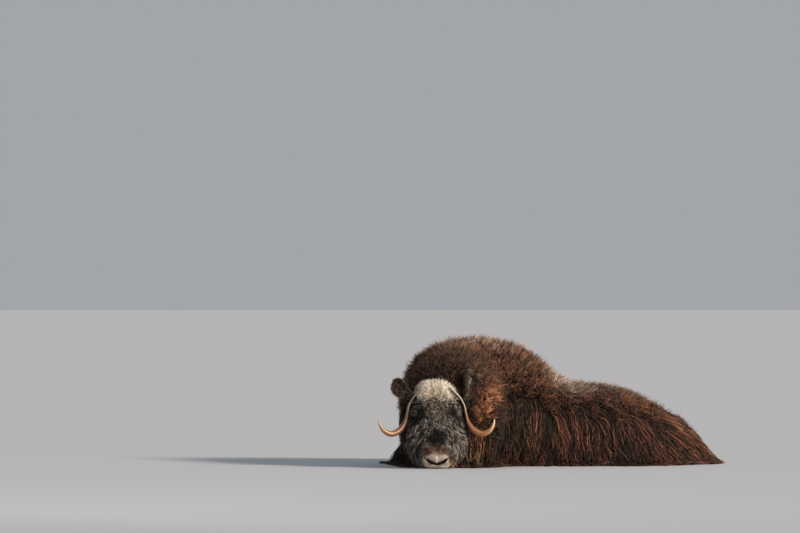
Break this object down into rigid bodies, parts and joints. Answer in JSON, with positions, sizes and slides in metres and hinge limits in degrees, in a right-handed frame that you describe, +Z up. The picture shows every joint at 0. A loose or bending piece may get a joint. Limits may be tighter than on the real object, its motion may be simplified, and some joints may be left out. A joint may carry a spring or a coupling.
{
  "type": "muskox",
  "caption": "Life-size still model of a muskox cow lying down, head turned to its left side with the chin on the ground.",
  "frame": {"origin": "middle of the footprint, on the floor", "axes": "+X from the chest towards the rump along the lying animal, -Y the way the turned head faces, +Z up"},
  "size_m": [1.8658, 1.217, 0.7021],
  "materials": {
    "coat": "long coarse guard hair over wool",
    "face_hair": "short dense hair",
    "horn": "worn keratin",
    "hoof": "dark keratin",
    "eye": "wet"
  },
  "bodies": {
    "root": {"head": "face_hair", "lower_jaw": "face_hair", "ear_left": "face_hair", "ear_right": "face_hair", "eye_left": "eye", "eye_right": "eye", "horn_left": "horn", "horn_right": "horn", "neck": "coat", "trunk_front": "coat", "trunk_rear": "coat", "tail": "coat", "foreleg_left": "coat", "foreleg_right": "coat", "hindleg_left": "coat", "hindleg_right": "coat", "claw_fore_left_left": "hoof", "claw_fore_left_right": "hoof", "claw_fore_right_left": "hoof", "claw_fore_right_right": "hoof", "claw_hind_left_left": "hoof", "claw_hind_left_right": "hoof", "claw_hind_right_left": "hoof", "claw_hind_right_right": "hoof"}
  },
  "joints": []
}
